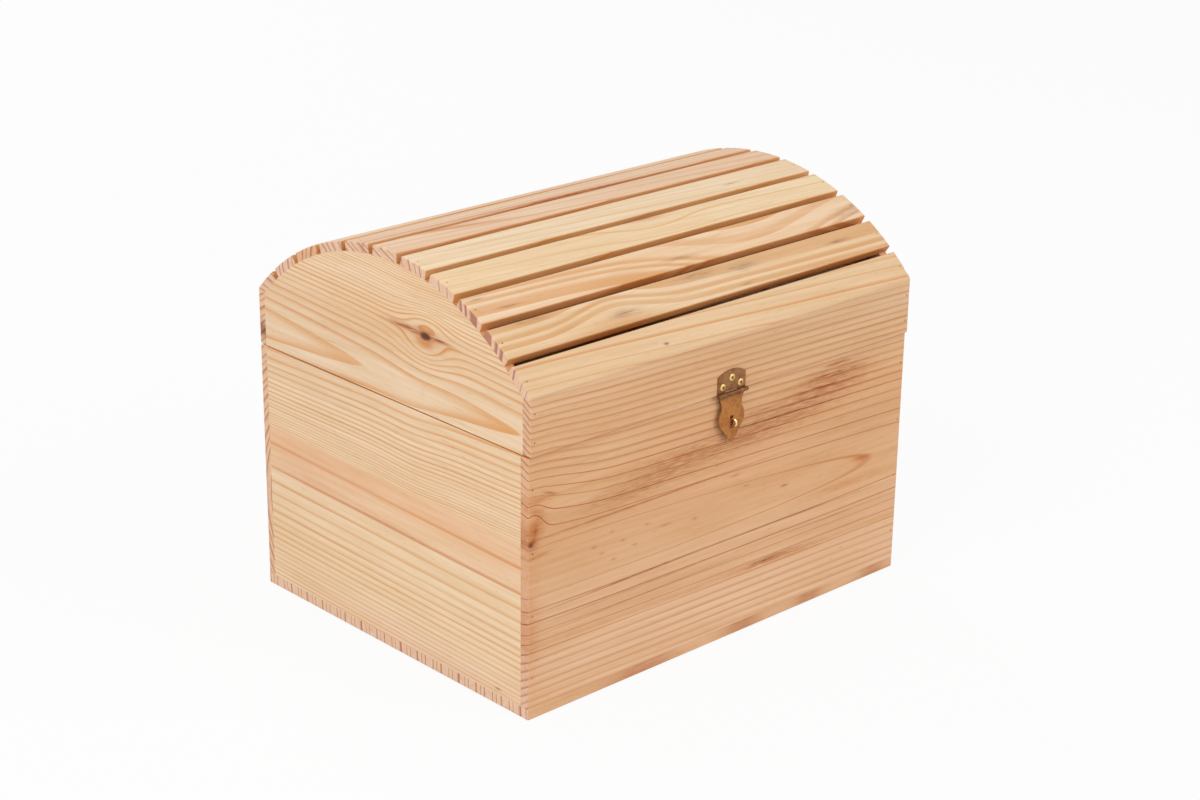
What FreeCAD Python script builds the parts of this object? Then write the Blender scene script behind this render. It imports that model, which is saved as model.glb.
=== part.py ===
import FreeCAD, Part
import math
import os

import Sketcher
from FreeCAD import Placement, Rotation, Vector

# Driving sizes in millimetres, angles in degrees. X runs along the front, Y to the back and Z up,
# and the origin is the middle of the box's underside.
SIZES = {
    "box_length": 400,
    "box_depth": 314,
    "box_height": 204,
    "board_thickness": 8,
    "bottom_thickness": 9,
    "glue_line_height": 137.5,
    "edge_round": 1.5,
    "seam_round": 0.6,
    "lid_overhang": 2,
    "seam_gap": 0.8,
    "rail_height": 42.6,
    "arch_rise": 64,
    "eave_height": 2.5,
    "slat_count": 11,
    "slat_thickness": 7.5,
    "slat_gap": 5.6,
    "slat_seat": 0.05,
    "slat_round": 1.4,
    "slat_nose_round": 5,
    "nose_flat": 0.5,
    "brad_diameter": 1.3,
    "brad_length": 17,
    "brad_sink": 0.6,
    "brad_clearance": 0.02,
    "brad_tip_room": 0.4,
    "corner_brads": 4,
    "lid_corner_brads": 2,
    "bottom_brads_long": 4,
    "bottom_brads_short": 3,
    "hinge_length": 36,
    "hinge_inset": 75,
    "hinge_leaf_width": 16,
    "hinge_leaf_thickness": 1,
    "hinge_barrel_radius": 1.9,
    "hinge_axis_offset": 2.2,
    "hinge_pin_radius": 0.95,
    "hinge_screw_spacing": 22,
    "hinge_screw_rise": 10,
    "knuckle_notch": 2.5,
    "knuckle_tab": 0.3,
    "knuckle_gap": 0.3,
    "pin_fit": 0.05,
    "pin_head_thickness": 0.6,
    "screw_shank_radius": 1.1,
    "screw_length": 7.6,
    "screw_point": 1.5,
    "screw_clearance": 0.03,
    "screw_slot_width": 0.8,
    "screw_slot_depth": 0.45,
    "flat_head_radius": 2.3,
    "flat_head_depth": 1.3,
    "flat_head_proud": 0.25,
    "flat_slot_length": 6,
    "round_head_radius": 2.7,
    "round_head_height": 0.7,
    "round_head_cross": 2.8,
    "hasp_offset": -1.6,
    "hasp_plate_width": 29,
    "hasp_plate_side": 14.3,
    "hasp_plate_crown": 18.5,
    "hasp_plate_thickness": 0.9,
    "hasp_barrel_length": 31,
    "hasp_barrel_radius": 1.7,
    "hasp_axis_offset": 2,
    "hasp_knuckle_length": 8.5,
    "hasp_pin_radius": 0.8,
    "hasp_side_screw_rise": 6,
    "hasp_side_screw_spacing": 18.8,
    "hasp_top_screw_rise": 11.9,
    "strap_thickness": 0.9,
    "strap_top_width": 25.5,
    "strap_neck_width": 21.4,
    "strap_neck_start": 7.5,
    "strap_neck_end": 12.2,
    "strap_bulge_radius": 11,
    "strap_shoulder_width": 19.2,
    "strap_shoulder_drop": 27.9,
    "strap_tip_round": 1.4,
    "strap_length": 40,
    "strap_lift": 2,
    "strap_side_room": 0.8,
    "strap_end_room": 1.3,
    "staple_drop": 23,
    "staple_wire_radius": 0.9,
    "staple_bend_radius": 2.8,
    "staple_reach": 9.5,
    "staple_depth": 6,
    "staple_clearance": 0.02,
}

# Sizes worked out from the driving ones.
FITS = {
    "lid_depth": "dims.box_depth + dims.lid_overhang",
    "lid_centre": "-dims.lid_overhang / 2",
    "lid_front": "-dims.box_depth / 2 - dims.lid_overhang",
    "lid_base": "dims.box_height + dims.seam_gap",
    "seam_middle": "dims.box_height + dims.seam_gap / 2",
    "rail_top": "lid_base + dims.rail_height",
    "inner_depth": "dims.box_depth - 2 * dims.board_thickness",
    "lid_inner_half": "lid_depth / 2 - dims.board_thickness",
    "wall_height": "dims.box_height - dims.bottom_thickness",
    "wall_middle": "dims.box_length / 2 - dims.board_thickness / 2",
    "outer_rise": "dims.arch_rise + dims.slat_thickness - dims.eave_height",
    "outer_radius": "(lid_depth * lid_depth / 4 + outer_rise * outer_rise) / (2 * outer_rise)",
    "arch_radius": "outer_radius - dims.slat_thickness",
    "seat_radius": "arch_radius + dims.slat_seat",
    "arch_centre": "rail_top + dims.arch_rise - arch_radius",
    "rail_over_centre": "rail_top - arch_centre",
    "end_side": "arch_centre - lid_base + sqrt(arch_radius ^ 2 - lid_inner_half ^ 2)",
    "gap_angle": "2 * asin(dims.slat_gap / (2 * outer_radius))",
    "outer_angle": "asin(lid_depth / (2 * outer_radius))",
    "eave_angle": "atan(lid_depth / (2 * rail_over_centre))",
    "slat_pitch": "(2 * eave_angle + gap_angle) / dims.slat_count",
    "slat_half": "outer_radius * sin((slat_pitch - gap_angle) / 2)",
    "slat_outer": "sqrt(outer_radius ^ 2 - slat_half ^ 2)",
    "slat_inner": "sqrt(seat_radius ^ 2 - slat_half ^ 2)",
    "eave_start": "eave_angle - slat_pitch + gap_angle",
    "eave_foot": "sqrt(seat_radius ^ 2 - rail_over_centre ^ 2)",
    "nose_limit": "dims.eave_height / tan((90 deg - outer_angle) / 2)",
    "nose_round": "min(dims.slat_nose_round; nose_limit - dims.nose_flat)",
    "brad_radius": "dims.brad_diameter / 2",
    "hinge_knuckle": "(dims.hinge_length - 2 * dims.knuckle_gap) / 3",
    "hinge_axis_y": "dims.box_depth / 2 + dims.hinge_axis_offset",
    "hinge_face": "dims.box_depth / 2 + dims.hinge_leaf_thickness",
    "hasp_axis_y": "lid_front - dims.hasp_axis_offset",
    "hasp_face": "lid_front - dims.hasp_plate_thickness",
    "plate_tab": "dims.hasp_knuckle_length - (dims.hasp_barrel_length - dims.hasp_plate_width) / 2",
    "plate_rise": "dims.hasp_plate_crown - dims.hasp_plate_side",
    "plate_arc": "(dims.hasp_plate_width ^ 2 / 4 + plate_rise ^ 2) / (2 * plate_rise)",
    "strap_knuckle": "dims.hasp_barrel_length - 2 * dims.hasp_knuckle_length - 2 * dims.knuckle_gap",
    "head_arc": "(dims.round_head_radius ^ 2 + dims.round_head_height ^ 2) / (2 * dims.round_head_height)",
    "staple_half": "dims.staple_bend_radius + dims.staple_wire_radius",
    "staple_straight": "dims.staple_reach - staple_half",
    "slot_half_width": "dims.staple_wire_radius + dims.strap_side_room",
    "slot_half_height": "staple_half + dims.strap_end_room",
}
TOUCH = 0.001

doc = FreeCAD.newDocument("domed_chest")
nodes = {}


def fill_sheet(name, cells):
    sheet = doc.addObject("Spreadsheet::Sheet", name)
    for row, (alias, content) in enumerate(cells.items(), start=1):
        sheet.set(f"A{row}", alias)
        sheet.set(f"B{row}", str(content))
        sheet.setAlias(f"B{row}", alias)
    doc.recompute()
    return sheet


dims = fill_sheet("dims", SIZES)
fill_sheet("fits", {alias: f"={formula}" for alias, formula in FITS.items()})


def value(expression):
    result = dims.evalExpression(str(expression))
    return float(getattr(result, "Value", result))


def bind(thing, **expressions):
    for path, expression in expressions.items():
        thing.setExpression(path.replace("__", "."), str(expression))


def place(thing, at, rotation=None):
    if rotation:
        thing.Placement = Placement(Vector(), rotation)
    x, y, z = at
    bind(thing, Placement__Base__x=x, Placement__Base__y=y, Placement__Base__z=z)


def solid(kind, name, at=(0, 0, 0), rotation=None, **sizes):
    thing = doc.addObject(f"Part::{kind}", name)
    bind(thing, **sizes)
    place(thing, at, rotation)
    return thing


def joined(name, pieces):
    fuse = doc.addObject("Part::MultiFuse", name)
    fuse.Shapes = pieces
    return fuse


def together(name, pieces):
    group = doc.addObject("Part::Compound", name)
    group.Links = pieces
    return group


def cut(name, base, tools):
    result = doc.addObject("Part::Cut", name)
    result.Base = base
    result.Tool = together(f"{name}_tools", tools)
    return result


def copy_of(master, name, at, rotation=None):
    link = doc.addObject("App::Link", name)
    link.LinkedObject = master
    link.LinkTransform = True
    place(link, at, rotation)
    return link


def keep(label, thing):
    thing.Label = label
    nodes[label] = thing


# Each board is drawn on its own XY plane, seen from outside, and padded outwards along its Z.
FACING = {
    "front": Rotation(Vector(1, 0, 0), 90),
    "back": Rotation(Vector(0, 1, 1), 180),
    "left": Rotation(Vector(0, -1, 0), Vector(0, 0, 1), Vector(-1, 0, 0), "ZXY"),
    "right": Rotation(Vector(0, 1, 0), Vector(0, 0, 1), Vector(1, 0, 0), "ZXY"),
}
SIGN = {"left": "-", "right": "", "front": "-", "back": ""}
ALONG_X = Rotation(Vector(0, 1, 0), 90)
# A turn about X, by an angle that is set for each piece.
ABOUT_X = Rotation(Vector(1, 0, 0), 180)


def new_body(name):
    return doc.addObject("PartDesign::Body", name)


def new_sketch(body, role, name, offset="0"):
    sketch = body.newObject("Sketcher::SketchObject", name)
    plane = next(feature for feature in body.Origin.OriginFeatures if feature.Role == role)
    sketch.AttachmentSupport = [(plane, "")]
    sketch.MapMode = "FlatFace"
    bind(sketch, AttachmentOffset__Base__z=offset)
    return sketch


def arc_through(start, end, radius):
    # The shorter arc between two points, anticlockwise for a positive radius.
    chord = end - start
    middle = start + chord * 0.5
    reach = math.sqrt(radius ** 2 - (chord.Length / 2) ** 2)
    left = Vector(-chord.y, chord.x, 0).normalize()
    centre = middle + left * math.copysign(reach, radius)
    first, last = (start, end) if radius > 0 else (end, start)
    angles = [math.atan2(p.y - centre.y, p.x - centre.x) for p in (first, last)]
    return Part.ArcOfCircle(Part.Circle(centre, Vector(0, 0, 1), abs(radius)), *angles)


def fix_coordinate(sketch, kind, axis, index, point, expression):
    if expression == "0":
        sketch.addConstraint(Sketcher.Constraint("PointOnObject", index, point, axis))
        return
    constraint = Sketcher.Constraint(kind, -1, 1, index, point, value(expression))
    number = sketch.addConstraint(constraint)
    bind(sketch, **{f"Constraints[{number}]": expression})


def outline(sketch, corners, arcs=None):
    # A closed line through the corners, anticlockwise. arcs gives the radius of the stretch that
    # starts at a corner, with a minus sign where it turns clockwise.
    arcs = arcs or {}
    base = sketch.GeometryCount
    count = len(corners)
    points = [Vector(value(x), value(y), 0) for x, y in corners]
    ends = []
    for i in range(count):
        start, end = points[i], points[(i + 1) % count]
        if i not in arcs:
            sketch.addGeometry(Part.LineSegment(start, end))
            ends.append((1, 2))
            continue
        radius = value(arcs[i])
        sketch.addGeometry(arc_through(start, end, radius))
        ends.append((1, 2) if radius > 0 else (2, 1))
    for i in range(count):
        following = (i + 1) % count
        join = (base + i, ends[i][1], base + following, ends[following][0])
        sketch.addConstraint(Sketcher.Constraint("Coincident", *join))
    for i, (x, y) in enumerate(corners):
        fix_coordinate(sketch, "DistanceX", -2, base + i, ends[i][0], x)
        fix_coordinate(sketch, "DistanceY", -1, base + i, ends[i][0], y)
    for i, radius in arcs.items():
        number = sketch.addConstraint(Sketcher.Constraint("Radius", base + i, abs(value(radius))))
        bind(sketch, **{f"Constraints[{number}]": f"abs({radius})"})


def box_outline(sketch, left, bottom, right, top):
    outline(sketch, [(left, bottom), (right, bottom), (right, top), (left, top)])


def pad(body, sketch, length):
    feature = body.newObject("PartDesign::Pad", f"{sketch.Name}_pad")
    feature.Profile = sketch
    bind(feature, Length=length)
    doc.recompute()
    return feature


def pocket(body, sketch, depth):
    before = body.Shape.Volume
    feature = body.newObject("PartDesign::Pocket", f"{sketch.Name}_pocket")
    feature.Profile = sketch
    bind(feature, Length=depth)
    doc.recompute()
    if body.Shape.Volume >= before:
        raise RuntimeError(f"{feature.Name} cuts nothing")
    return feature


def turned(body, sketch):
    feature = body.newObject("PartDesign::Revolution", f"{sketch.Name}_turned")
    feature.Profile = sketch
    feature.ReferenceAxis = (sketch, ["V_Axis"])
    feature.Angle = 360
    doc.recompute()
    return feature


def ease(body, feature, radius, chosen):
    names = []
    for number, edge in enumerate(feature.Shape.Edges, start=1):
        middle = edge.valueAt((edge.FirstParameter + edge.LastParameter) / 2)
        if chosen(middle):
            names.append(f"Edge{number}")
    fillet = body.newObject("PartDesign::Fillet", f"{feature.Name}_ease")
    fillet.Base = (feature, names)
    bind(fillet, Radius=radius)
    doc.recompute()
    return fillet


def near(a, b):
    return abs(a - b) < TOUCH


def ease_outside(body, feature, sides, radius):
    # Rounds the named edges of a board's outer face.
    box = feature.Shape.BoundBox
    limits = {
        "left": ("x", box.XMin),
        "right": ("x", box.XMax),
        "bottom": ("y", box.YMin),
        "top": ("y", box.YMax),
    }

    def chosen(middle):
        on_side = any(near(getattr(middle, limits[s][0]), limits[s][1]) for s in sides)
        return on_side and near(middle.z, box.ZMax)

    return ease(body, feature, radius, chosen)


def wall(name, facing, half, height, at, seam=None, corners=False):
    body = new_body(name)
    sketch = new_sketch(body, "XY_Plane", f"{name}_outline")
    box_outline(sketch, f"-({half})", "0", half, height)
    board = pad(body, sketch, "dims.board_thickness")
    if seam:
        board = ease_outside(body, board, (seam,), "dims.seam_round")
    if corners:
        ease_outside(body, board, ("left", "right"), "dims.edge_round")
    place(body, at, FACING[facing])
    return body


# Brads stand a little below the surface, at the bottom of the bores that they are driven into.
brad = solid(
    "Cylinder", "brad", at=(0, 0, "dims.brad_sink"),
    Radius="fits.brad_radius", Height="dims.brad_length",
)
brad_bore = solid(
    "Cylinder", "brad_bore",
    Radius="fits.brad_radius + dims.brad_clearance",
    Height="dims.brad_sink + dims.brad_length + dims.brad_tip_room",
)
DRIVEN = {"front": Rotation(Vector(1, 0, 0), -90), "back": Rotation(Vector(1, 0, 0), 90)}
bores = {}


def drive(group, boards, at, rotation=None, turn=None):
    # One brad of a group, with its bore in each of the boards that it passes through.
    number = len(group)
    link = copy_of(brad, f"brad_{len(bores)}_{number}", at, rotation)
    hole = copy_of(brad_bore, f"bore_{len(bores)}_{number}", at, rotation)
    for thing in (link, hole):
        if turn:
            bind(thing, Placement__Rotation__Angle=turn)
    group.append(link)
    for board in boards:
        bores.setdefault(board, []).append(hole)


def spread(index, count, span):
    return f"({index} + 0.5 - {count} / 2) * ({span}) / {count}"


def corner_brads(prefix, count, face, low, height, end_boards):
    group = []
    for facing in ("front", "back"):
        for end in ("left", "right"):
            for level in range(count):
                rise = f"({level} + 0.5) * ({height}) / {count}"
                z = f"{low} + {rise}"
                panel = prefix.format(facing)
                at = (f"{SIGN[end]}fits.wall_middle", face[facing], z)
                drive(group, (panel, *end_boards(end)), at, DRIVEN[facing])
    return group


def box_end_boards(end):
    return f"box_{end}_end_lower", f"box_{end}_end_upper"


def lid_end_boards(end):
    return (f"lid_{end}_end",)


box_corner_brads = corner_brads(
    "box_{}_panel", int(value("dims.corner_brads")),
    {"front": "-dims.box_depth / 2", "back": "dims.box_depth / 2"},
    "dims.bottom_thickness", "fits.wall_height", box_end_boards,
)
lid_corner_brads = corner_brads(
    "lid_{}_rail", int(value("dims.lid_corner_brads")),
    {"front": "fits.lid_front", "back": "dims.box_depth / 2"},
    "fits.lid_base", "dims.rail_height", lid_end_boards,
)

box_bottom_brads = []
long_count = int(value("dims.bottom_brads_long"))
short_count = int(value("dims.bottom_brads_short"))
for facing in ("front", "back"):
    y = f"{SIGN[facing]}(dims.box_depth / 2 - dims.board_thickness / 2)"
    for i in range(long_count):
        at = (spread(i, long_count, "dims.box_length"), y, 0)
        drive(box_bottom_brads, ("box_bottom", f"box_{facing}_panel"), at)
for end in ("left", "right"):
    for i in range(short_count):
        at = (f"{SIGN[end]}fits.wall_middle", spread(i, short_count, "fits.inner_depth"), 0)
        drive(box_bottom_brads, ("box_bottom", f"box_{end}_end_lower"), at)

lid_slat_brads = []
slat_count = int(value("dims.slat_count"))
slat_names = [f"lid_slat_{i + 1:02d}" for i in range(slat_count)]
slat_angles = [f"({slat_count} / 2 - 0.5 - {i}) * fits.slat_pitch" for i in range(slat_count)]
for name, angle in zip(slat_names, slat_angles):
    for end in ("left", "right"):
        at = (
            f"{SIGN[end]}fits.wall_middle",
            f"fits.lid_centre + fits.outer_radius * sin({angle})",
            f"fits.arch_centre + fits.outer_radius * cos({angle})",
        )
        drive(lid_slat_brads, (name, f"lid_{end}_end"), at, ABOUT_X, f"180 deg - {angle}")

# Screws: a flat-headed one for the hinges and a round-headed one for the hasp.


def screw(name, head, head_arc, slots):
    body = new_body(name)
    profile = new_sketch(body, "XZ_Plane", f"{name}_profile")
    shank = "dims.screw_shank_radius"
    stem = [
        ("0", "-dims.screw_length"),
        (shank, "dims.screw_point - dims.screw_length"),
    ]
    outline(profile, stem + head, head_arc)
    turned(body, profile)
    for i, (width, height) in enumerate(slots):
        top = head[-1][1]
        sketch = new_sketch(body, "XY_Plane", f"{name}_slot_{i}", top)
        box_outline(sketch, f"-({width}) / 2", f"-({height}) / 2", f"({width}) / 2", f"({height}) / 2")
        pocket(body, sketch, "dims.screw_slot_depth")
    return body


flat_screw = screw(
    "flat_screw",
    [
        ("dims.screw_shank_radius", "-dims.flat_head_depth"),
        ("dims.flat_head_radius", "0"),
        ("0", "dims.flat_head_proud"),
    ],
    None,
    [("dims.flat_slot_length", "dims.screw_slot_width")],
)
round_screw = screw(
    "round_screw",
    [
        ("dims.screw_shank_radius", "0"),
        ("dims.round_head_radius", "0"),
        ("0", "dims.round_head_height"),
    ],
    {3: "fits.head_arc"},
    [
        ("dims.round_head_cross", "dims.screw_slot_width"),
        ("dims.screw_slot_width", "dims.round_head_cross"),
    ],
)
shank_bore = solid(
    "Cylinder", "shank_bore", at=(0, 0, "-dims.screw_length - dims.screw_clearance"),
    Radius="dims.screw_shank_radius + dims.screw_clearance",
    Height="dims.screw_length + dims.screw_clearance + dims.hinge_leaf_thickness",
)
sink_bore = solid(
    "Cone", "sink_bore", at=(0, 0, "-dims.flat_head_depth"),
    Radius1="dims.screw_shank_radius + dims.screw_clearance",
    Radius2="dims.flat_head_radius + dims.screw_clearance",
    Height="dims.flat_head_depth",
)
flat_bore = joined("flat_bore", [shank_bore, sink_bore])


def set_screw(group, screw_body, bore, boards, at, facing):
    name = f"{screw_body.Name}_{len(bores)}_{len(group)}"
    group.append(copy_of(screw_body, name, at, FACING[facing]))
    hole = copy_of(bore, f"{name}_bore", at, FACING[facing])
    for board in boards:
        bores.setdefault(board, []).append(hole)


hinge_box_screws = []
hinge_lid_screws = []
HINGE_X = {
    "left": "dims.hinge_inset - dims.box_length / 2",
    "right": "dims.box_length / 2 - dims.hinge_inset",
}
LEAVES = {
    "box": (hinge_box_screws, "box_back_panel", "-"),
    "lid": (hinge_lid_screws, "lid_back_rail", "+"),
}
for leaf, (group, board, side) in LEAVES.items():
    for end, x in HINGE_X.items():
        for shift in ("-", "+"):
            at = (
                f"{x} {shift} dims.hinge_screw_spacing / 2",
                "fits.hinge_face",
                f"fits.seam_middle {side} dims.hinge_screw_rise",
            )
            set_screw(group, flat_screw, flat_bore, (board, f"hinge_{end}_{leaf}_leaf"), at, "back")

hasp_screws = []
HASP_SCREWS = [
    ("-dims.hasp_side_screw_spacing / 2", "dims.hasp_side_screw_rise"),
    ("0", "dims.hasp_top_screw_rise"),
    ("dims.hasp_side_screw_spacing / 2", "dims.hasp_side_screw_rise"),
]
for shift, rise in HASP_SCREWS:
    at = (f"dims.hasp_offset + {shift}", "fits.hasp_face", f"fits.seam_middle + {rise}")
    set_screw(hasp_screws, round_screw, shank_bore, ("lid_front_rail", "hasp_plate"), at, "front")

# The staple is a bent wire driven into the box front, with its eye open to the sides.
OUT_OF_FRONT = Rotation(Vector(1, 0, 1), 180)
INTO_WOOD = Rotation(Vector(1, 0, 0), 90)
staple_parts = [
    solid(
        "Torus", "staple_bend",
        Radius1="dims.staple_bend_radius", Radius2="dims.staple_wire_radius", Angle3="180",
    )
]
for sign in ("-", ""):
    at = (f"{sign}dims.staple_bend_radius", 0, 0)
    staple_parts.append(
        solid(
            "Cylinder", "staple_leg", at, INTO_WOOD,
            Radius="dims.staple_wire_radius",
            Height="fits.staple_straight + dims.staple_depth",
        )
    )
    leg_bore = solid(
        "Cylinder", "leg_bore",
        at=(
            "dims.hasp_offset",
            "-dims.box_depth / 2 + dims.staple_depth + dims.staple_clearance",
            f"fits.seam_middle - dims.staple_drop + {sign}dims.staple_bend_radius",
        ),
        rotation=INTO_WOOD,
        Radius="dims.staple_wire_radius + dims.staple_clearance",
        Height="dims.staple_depth + dims.board_thickness",
    )
    bores.setdefault("box_front_panel", []).append(leg_bore)
staple = joined("staple", staple_parts)
staple_at = (
    "dims.hasp_offset",
    "-dims.box_depth / 2 - fits.staple_straight",
    "fits.seam_middle - dims.staple_drop",
)
place(staple, staple_at, OUT_OF_FRONT)
keep("hasp_staple", staple)

# Box boards.
half_length = "dims.box_length / 2"
boards = {}
for facing in ("front", "back"):
    name = f"box_{facing}_panel"
    y = f"{SIGN[facing]}(dims.box_depth / 2 - dims.board_thickness)"
    at = (0, y, "dims.bottom_thickness")
    boards[name] = wall(
        f"{name}_board", facing, half_length, "fits.wall_height", at, "top", True
    )
for end in ("left", "right"):
    x = f"{SIGN[end]}(dims.box_length / 2 - dims.board_thickness)"
    lower = "dims.glue_line_height - dims.bottom_thickness"
    upper = "dims.box_height - dims.glue_line_height"
    boards[f"box_{end}_end_lower"] = wall(
        f"box_{end}_lower_board", end, "fits.inner_depth / 2", lower,
        (x, 0, "dims.bottom_thickness"),
    )
    boards[f"box_{end}_end_upper"] = wall(
        f"box_{end}_upper_board", end, "fits.inner_depth / 2", upper,
        (x, 0, "dims.glue_line_height"), "top",
    )

bottom = new_body("box_bottom_board")
bottom_outline = new_sketch(bottom, "XY_Plane", "box_bottom_outline")
half_depth = "dims.box_depth / 2"
box_outline(bottom_outline, f"-{half_length}", f"-{half_depth}", half_length, half_depth)
bottom_pad = pad(bottom, bottom_outline, "dims.bottom_thickness")
bottom_box = bottom_pad.Shape.BoundBox


def is_bottom_edge(middle):
    at_end = near(abs(middle.x), bottom_box.XMax)
    at_side = near(abs(middle.y), bottom_box.YMax)
    return (near(middle.z, 0) and (at_end or at_side)) or (at_end and at_side)


ease(bottom, bottom_pad, "dims.edge_round", is_bottom_edge)
boards["box_bottom"] = bottom

# Lid rails and arched ends.
for facing in ("front", "back"):
    name = f"lid_{facing}_rail"
    y = f"fits.lid_centre {'-' if facing == 'front' else '+'} fits.lid_inner_half"
    at = (0, y, "fits.lid_base")
    boards[name] = wall(
        f"{name}_board", facing, half_length, "dims.rail_height", at, "bottom", True
    )
for end in ("left", "right"):
    body = new_body(f"lid_{end}_board")
    sketch = new_sketch(body, "XY_Plane", f"lid_{end}_outline")
    corners = [
        ("-fits.lid_inner_half", "0"),
        ("fits.lid_inner_half", "0"),
        ("fits.lid_inner_half", "fits.end_side"),
        ("-fits.lid_inner_half", "fits.end_side"),
    ]
    outline(sketch, corners, {2: "fits.arch_radius"})
    board = pad(body, sketch, "dims.board_thickness")
    ease_outside(body, board, ("bottom",), "dims.seam_round")
    x = f"{SIGN[end]}(dims.box_length / 2 - dims.board_thickness)"
    place(body, (x, "fits.lid_centre", "fits.lid_base"), FACING[end])
    boards[f"lid_{end}_end"] = body

# Slats: drawn across the arch, with its centre line as the origin, and padded along X.
outer_radius = value("fits.outer_radius")
front_reach = value("fits.lid_depth / 2")


def slat_body(name, corners, arcs):
    body = new_body(f"{name}_board")
    sketch = new_sketch(body, "YZ_Plane", f"{name}_outline", f"-{half_length}")
    outline(sketch, corners, arcs)
    return body, pad(body, sketch, "dims.box_length")


def on_top(middle):
    return near(math.hypot(middle.y, middle.z), outer_radius)


def is_nose(middle):
    return on_top(middle) and near(abs(middle.y), front_reach)


def middle_slat(name, angle):
    corners = [
        ("-fits.slat_half", "fits.slat_inner"),
        ("fits.slat_half", "fits.slat_inner"),
        ("fits.slat_half", "fits.slat_outer"),
        ("-fits.slat_half", "fits.slat_outer"),
    ]
    body, board = slat_body(name, corners, {0: "-fits.seat_radius", 2: "fits.outer_radius"})
    ease(body, board, "dims.slat_round", on_top)
    place(body, (0, "fits.lid_centre", "fits.arch_centre"), ABOUT_X)
    bind(body, Placement__Rotation__Angle=f"-({angle})")
    return body


def eave_slat(name, turn):
    # The outermost slats end on the rails' tops, flush with the rails' faces.
    reach = "fits.lid_depth / 2"
    corners = [
        ("-fits.seat_radius * sin(fits.eave_start)", "fits.seat_radius * cos(fits.eave_start)"),
        ("-fits.outer_radius * sin(fits.eave_start)", "fits.outer_radius * cos(fits.eave_start)"),
        (f"-{reach}", "fits.rail_over_centre + dims.eave_height"),
        (f"-{reach}", "fits.rail_over_centre"),
        ("-fits.eave_foot", "fits.rail_over_centre"),
    ]
    body, board = slat_body(name, corners, {1: "fits.outer_radius", 4: "-fits.seat_radius"})
    rounded = ease(body, board, "fits.nose_round", is_nose)
    ease(body, rounded, "dims.slat_round", on_top)
    place(body, (0, "fits.lid_centre", "fits.arch_centre"), Rotation(Vector(0, 0, 1), turn))
    return body


for name, angle in zip(slat_names[1:-1], slat_angles[1:-1]):
    boards[name] = middle_slat(name, angle)
boards[slat_names[0]] = eave_slat(slat_names[0], 180)
boards[slat_names[-1]] = eave_slat(slat_names[-1], 0)

for name, body in boards.items():
    keep(name, cut(f"{name}_bored", body, bores[name]))
for name, group in {
    "box_corner_brads": box_corner_brads,
    "box_bottom_brads": box_bottom_brads,
    "lid_corner_brads": lid_corner_brads,
    "lid_slat_brads": lid_slat_brads,
    "hinge_box_screws": hinge_box_screws,
    "hinge_lid_screws": hinge_lid_screws,
    "hasp_screws": hasp_screws,
}.items():
    keep(name, together(f"{name}_set", group))

# Hinges and hasp. Each leaf is drawn with the pin along X through its origin, up along Y and
# outwards along Z, and carries its knuckles on short tabs.


def knuckles(name, spans, tabs, side, back, thickness, barrel):
    low = "dims.knuckle_tab" if side > 0 else "-dims.knuckle_notch"
    pieces = []
    for start, length in spans:
        knuckle = solid(
            "Cylinder", f"{name}_knuckle", (start, 0, 0), ALONG_X, Radius=barrel, Height=length
        )
        pieces.append(knuckle)
    for start, length in tabs:
        tab = solid(
            "Box", f"{name}_tab", (start, low, back),
            Length=length, Width="dims.knuckle_notch - dims.knuckle_tab", Height=thickness,
        )
        pieces.append(tab)
    return pieces


def pin_bore(name, length, radius):
    at = (f"-({length})", 0, 0)
    return solid(
        "Cylinder", f"{name}_pin_bore", at, ALONG_X,
        Radius=f"{radius} + dims.pin_fit", Height=f"2 * ({length})",
    )


def pin(name, length, radius, barrel, at):
    shaft = solid("Cylinder", f"{name}_shaft", rotation=ALONG_X, Radius=radius, Height=length)
    bind(shaft, Placement__Base__x=f"-({length}) / 2")
    pieces = [shaft]
    for side in ("-", "+"):
        start = f"{side}({length}) / 2"
        if side == "-":
            start = f"{start} - dims.pin_head_thickness"
        head = solid(
            "Cylinder", f"{name}_head", (start, 0, 0), ALONG_X,
            Radius=f"({radius} + {barrel}) / 2", Height="dims.pin_head_thickness",
        )
        pieces.append(head)
    whole = joined(name, pieces)
    place(whole, at)
    return whole


hinge_outer = [
    ("-dims.hinge_length / 2", "fits.hinge_knuckle"),
    ("dims.hinge_length / 2 - fits.hinge_knuckle", "fits.hinge_knuckle"),
]
hinge_middle = [("-fits.hinge_knuckle / 2", "fits.hinge_knuckle")]
for end, x in HINGE_X.items():
    axis_at = (x, "fits.hinge_axis_y", "fits.seam_middle")
    for leaf, spans, side in (("box", hinge_middle, -1), ("lid", hinge_outer, 1)):
        name = f"hinge_{end}_{leaf}_leaf"
        low = "dims.knuckle_notch" if side > 0 else "-dims.hinge_leaf_width"
        plate = solid(
            "Box", f"{name}_plate", ("-dims.hinge_length / 2", low, "-dims.hinge_axis_offset"),
            Length="dims.hinge_length",
            Width="dims.hinge_leaf_width - dims.knuckle_notch",
            Height="dims.hinge_leaf_thickness",
        )
        pieces = [plate] + knuckles(
            name, spans, spans, side, "-dims.hinge_axis_offset",
            "dims.hinge_leaf_thickness", "dims.hinge_barrel_radius",
        )
        bored = cut(
            f"{name}_bored", joined(f"{name}_blank", pieces),
            [pin_bore(name, "dims.hinge_length", "dims.hinge_pin_radius")],
        )
        place(bored, axis_at, FACING["back"])
        keep(name, cut(f"{name}_drilled", bored, bores[name]))
    hinge_pin = pin(
        f"hinge_{end}_rod", "dims.hinge_length", "dims.hinge_pin_radius",
        "dims.hinge_barrel_radius", axis_at,
    )
    keep(f"hinge_{end}_pin", hinge_pin)

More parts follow.
